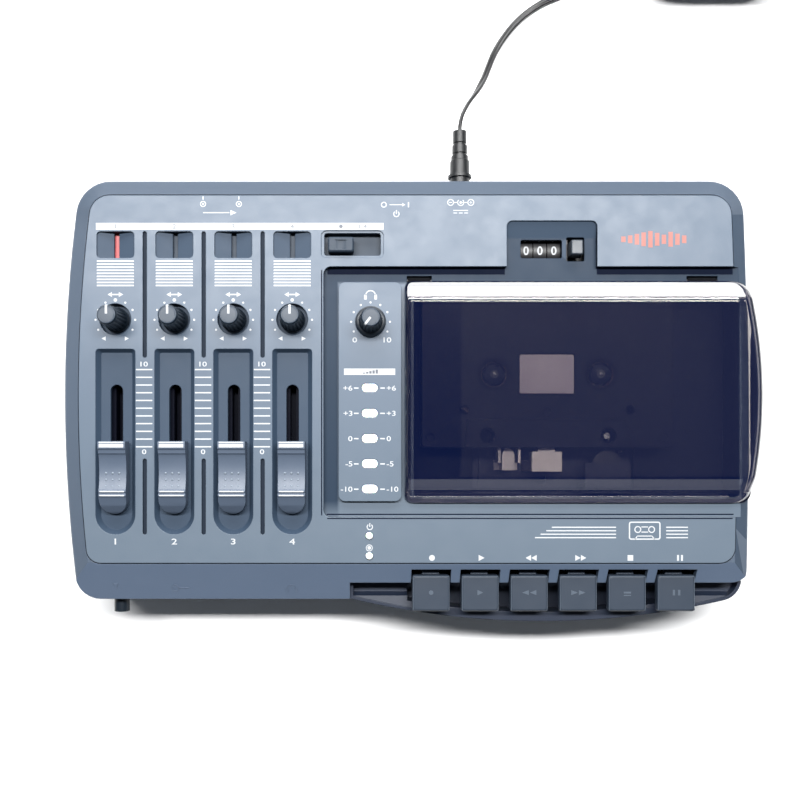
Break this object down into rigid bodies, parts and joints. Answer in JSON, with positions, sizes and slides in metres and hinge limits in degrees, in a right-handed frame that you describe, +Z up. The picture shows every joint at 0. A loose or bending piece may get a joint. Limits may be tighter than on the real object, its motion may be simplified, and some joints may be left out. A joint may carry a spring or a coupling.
{
  "type": "four track cassette recorder",
  "caption": "Portable multitrack cassette recorder with channel faders, pan knobs, a level meter, a smoked lid over the tape, piano keys, a tape counter and a supply lead.",
  "frame": {"origin": "middle of the footprint of the recorder without its supply lead, on the surface that its feet stand on", "axes": "+X to the right end with the cassette, +Y to the rear with the sockets, +Z up"},
  "size_m": [0.3125, 0.3164, 0.06],
  "materials": {
    "case_plastic": "fine satin texture, dark slate grey",
    "base_plastic": "fine satin texture, dark slate grey",
    "foot_rubber": "matt black",
    "screw_steel": "blackened",
    "smoked_lid": "glossy smoked clear plastic",
    "pin_steel": "plain",
    "deck_plastic": "satin black",
    "plated_steel": "zinc plated",
    "cassette_plastic": "black, slightly glossy",
    "cassette_window": "milky clear",
    "tape": "brown tape on a white hub",
    "spindle_plastic": "black",
    "flywheel_metal": "turned",
    "motor_steel": "drawn",
    "pulley_brass": "turned",
    "belt_rubber": "matt black",
    "head_metal": "polished",
    "roller_rubber": "matt black",
    "key_plastic": "satin slate grey",
    "fader_plastic": "satin slate grey",
    "pot_steel": "plated",
    "knob_plastic": "satin black",
    "selector_plastic": "satin slate grey",
    "counter_plastic": "black",
    "wheel_plastic": "black with white digits",
    "button_plastic": "dark slate grey",
    "lamp_lens": "milky white",
    "circuit_board": "green",
    "socket_plastic": "black",
    "plug_plastic": "black",
    "lead_pvc": "satin black",
    "adaptor_plastic": "fine texture, black"
  },
  "bodies": {
    "case": {"top_case": "case_plastic", "bottom_case": "base_plastic", "rubber_feet": "foot_rubber", "case_screws": "screw_steel", "lid_hinge_pins": "pin_steel", "deck_cover": "deck_plastic", "deck_chassis": "plated_steel", "cassette_shell": "cassette_plastic", "cassette_window": "cassette_window", "drive_motor": "motor_steel", "drive_belt": "belt_rubber", "key_shaft": "pin_steel", "key_springs": "pin_steel", "fader_pots": "pot_steel", "rotary_pots": "pot_steel", "counter_frame": "counter_plastic", "led_lenses": "lamp_lens", "control_board": "circuit_board", "main_board": "circuit_board", "front_jacks": "socket_plastic", "line_out_jacks": "socket_plastic", "dc_jack": "socket_plastic", "dc_plug": "plug_plastic", "dc_lead": "lead_pvc", "lead_coil": "lead_pvc", "power_adaptor": "adaptor_plastic"},
    "lid": {"lid": "smoked_lid"},
    "supply": {"supply_spindle": "spindle_plastic", "supply_reel": "tape"},
    "takeup": {"takeup_spindle": "spindle_plastic", "takeup_reel": "tape"},
    "flywheel": {"capstan_flywheel": "flywheel_metal"},
    "motor_rotor": {"motor_pulley": "pulley_brass"},
    "heads": {"head_plate": "plated_steel", "record_head": "head_metal", "erase_head": "head_metal"},
    "roller": {"pinch_roller": "roller_rubber"},
    "key_record": {"key_record": "key_plastic"},
    "key_play": {"key_play": "key_plastic"},
    "key_rewind": {"key_rewind": "key_plastic"},
    "key_forward": {"key_forward": "key_plastic"},
    "key_stop": {"key_stop": "key_plastic"},
    "key_pause": {"key_pause": "key_plastic"},
    "fader_1": {"fader_cap_1": "fader_plastic"},
    "fader_2": {"fader_cap_2": "fader_plastic"},
    "fader_3": {"fader_cap_3": "fader_plastic"},
    "fader_4": {"fader_cap_4": "fader_plastic"},
    "pan_1": {"pan_knob_1": "knob_plastic"},
    "pan_2": {"pan_knob_2": "knob_plastic"},
    "pan_3": {"pan_knob_3": "knob_plastic"},
    "pan_4": {"pan_knob_4": "knob_plastic"},
    "volume": {"volume_knob": "knob_plastic"},
    "trim": {"trim_knob": "knob_plastic"},
    "selector": {"track_selector": "selector_plastic"},
    "wheel_1": {"counter_wheel_1": "wheel_plastic"},
    "wheel_2": {"counter_wheel_2": "wheel_plastic"},
    "wheel_3": {"counter_wheel_3": "wheel_plastic"},
    "reset": {"counter_reset": "button_plastic"},
    "power": {"power_slider": "button_plastic"}
  },
  "joints": [
    {"name": "lid_hinge", "type": "hinge", "parent": "case", "child": "lid", "pos_m": [0.06, 0.0479, 0.04355], "axis": [-1, 0, 0], "range_deg": [0, 70]},
    {"name": "supply_turn", "type": "hinge", "parent": "case", "child": "supply", "pos_m": [0.03335, 0.0113, 0.025], "axis": [0, 0, 1], "continuous": true},
    {"name": "takeup_turn", "type": "hinge", "parent": "case", "child": "takeup", "pos_m": [0.07585, 0.0113, 0.025], "axis": [0, 0, 1], "continuous": true},
    {"name": "flywheel_turn", "type": "hinge", "parent": "case", "child": "flywheel", "pos_m": [0.0786, -0.0132, 0.015], "axis": [0, 0, 1], "continuous": true},
    {"name": "motor_turn", "type": "hinge", "parent": "case", "child": "motor_rotor", "pos_m": [0.112, 0.016, 0.01], "axis": [0, 0, 1], "continuous": true},
    {"name": "head_slide", "type": "slide", "parent": "case", "child": "heads", "axis": [0, 1, 0], "range_m": [0, 0.0045]},
    {"name": "roller_turn", "type": "hinge", "parent": "heads", "child": "roller", "pos_m": [0.0786, -0.0252, 0.035], "axis": [0, 0, 1], "continuous": true},
    {"name": "record_press", "type": "hinge", "parent": "case", "child": "key_record", "pos_m": [0.008, -0.054, 0.036], "axis": [1, 0, 0], "range_deg": [0, 7], "stiffness_Nm_per_rad": 0.3, "springref_deg": -8.59},
    {"name": "play_press", "type": "hinge", "parent": "case", "child": "key_play", "pos_m": [0.0274, -0.054, 0.036], "axis": [1, 0, 0], "range_deg": [0, 7], "stiffness_Nm_per_rad": 0.3, "springref_deg": -8.59},
    {"name": "rewind_press", "type": "hinge", "parent": "case", "child": "key_rewind", "pos_m": [0.0468, -0.054, 0.036], "axis": [1, 0, 0], "range_deg": [0, 7], "stiffness_Nm_per_rad": 0.3, "springref_deg": -8.59},
    {"name": "forward_press", "type": "hinge", "parent": "case", "child": "key_forward", "pos_m": [0.0662, -0.054, 0.036], "axis": [1, 0, 0], "range_deg": [0, 7], "stiffness_Nm_per_rad": 0.3, "springref_deg": -8.59},
    {"name": "stop_press", "type": "hinge", "parent": "case", "child": "key_stop", "pos_m": [0.0856, -0.054, 0.036], "axis": [1, 0, 0], "range_deg": [0, 7], "stiffness_Nm_per_rad": 0.3, "springref_deg": -8.59},
    {"name": "pause_press", "type": "hinge", "parent": "case", "child": "key_pause", "pos_m": [0.105, -0.054, 0.036], "axis": [1, 0, 0], "range_deg": [0, 7], "stiffness_Nm_per_rad": 0.3, "springref_deg": -8.59},
    {"name": "fader_1_slide", "type": "slide", "parent": "case", "child": "fader_1", "axis": [0, 1, 0], "range_m": [0, 0.03]},
    {"name": "fader_2_slide", "type": "slide", "parent": "case", "child": "fader_2", "axis": [0, 1, 0], "range_m": [0, 0.03]},
    {"name": "fader_3_slide", "type": "slide", "parent": "case", "child": "fader_3", "axis": [0, 1, 0], "range_m": [0, 0.03]},
    {"name": "fader_4_slide", "type": "slide", "parent": "case", "child": "fader_4", "axis": [0, 1, 0], "range_m": [0, 0.03]},
    {"name": "pan_1_turn", "type": "hinge", "parent": "case", "child": "pan_1", "pos_m": [-0.1158, 0.0322, 0.05], "axis": [0, 0, -1], "range_deg": [-150, 150]},
    {"name": "pan_2_turn", "type": "hinge", "parent": "case", "child": "pan_2", "pos_m": [-0.09275, 0.0322, 0.05], "axis": [0, 0, -1], "range_deg": [-150, 150]},
    {"name": "pan_3_turn", "type": "hinge", "parent": "case", "child": "pan_3", "pos_m": [-0.0697, 0.0322, 0.05], "axis": [0, 0, -1], "range_deg": [-150, 150]},
    {"name": "pan_4_turn", "type": "hinge", "parent": "case", "child": "pan_4", "pos_m": [-0.04665, 0.0322, 0.05], "axis": [0, 0, -1], "range_deg": [-150, 150]},
    {"name": "volume_turn", "type": "hinge", "parent": "case", "child": "volume", "pos_m": [-0.016, 0.0313, 0.05], "axis": [0, 0, -1], "range_deg": [0, 300]},
    {"name": "trim_turn", "type": "hinge", "parent": "case", "child": "trim", "pos_m": [-0.1185, -0.082, 0.027], "axis": [0, 1, 0], "range_deg": [-150, 150]},
    {"name": "selector_slide", "type": "slide", "parent": "case", "child": "selector", "axis": [1, 0, 0], "range_m": [0, 0.0105]},
    {"name": "wheel_1_turn", "type": "hinge", "parent": "case", "child": "wheel_1", "pos_m": [0.05675, 0.0602, 0.0334], "axis": [1, 0, 0], "continuous": true},
    {"name": "wheel_2_turn", "type": "hinge", "parent": "case", "child": "wheel_2", "pos_m": [0.05125, 0.0602, 0.0334], "axis": [1, 0, 0], "continuous": true},
    {"name": "wheel_3_turn", "type": "hinge", "parent": "case", "child": "wheel_3", "pos_m": [0.04575, 0.0602, 0.0334], "axis": [1, 0, 0], "continuous": true},
    {"name": "reset_press", "type": "slide", "parent": "case", "child": "reset", "axis": [0, 0, -1], "range_m": [0, 0.002], "stiffness_N_per_m": 400, "springref_m": -0.001},
    {"name": "power_slide", "type": "slide", "parent": "case", "child": "power", "axis": [1, 0, 0], "range_m": [0, 0.005]}
  ],
  "couplings": [
    {"joint": "play_press", "follows": "head_slide", "rad_per_m": 27.1},
    {"joint": "motor_turn", "follows": "flywheel_turn", "ratio": 4.37},
    {"joint": "supply_turn", "follows": "takeup_turn", "ratio": 0.74},
    {"joint": "wheel_1_turn", "follows": "takeup_turn", "ratio": -0.5},
    {"joint": "wheel_2_turn", "follows": "takeup_turn", "ratio": -0.05},
    {"joint": "wheel_3_turn", "follows": "takeup_turn", "ratio": -0.005}
  ]
}
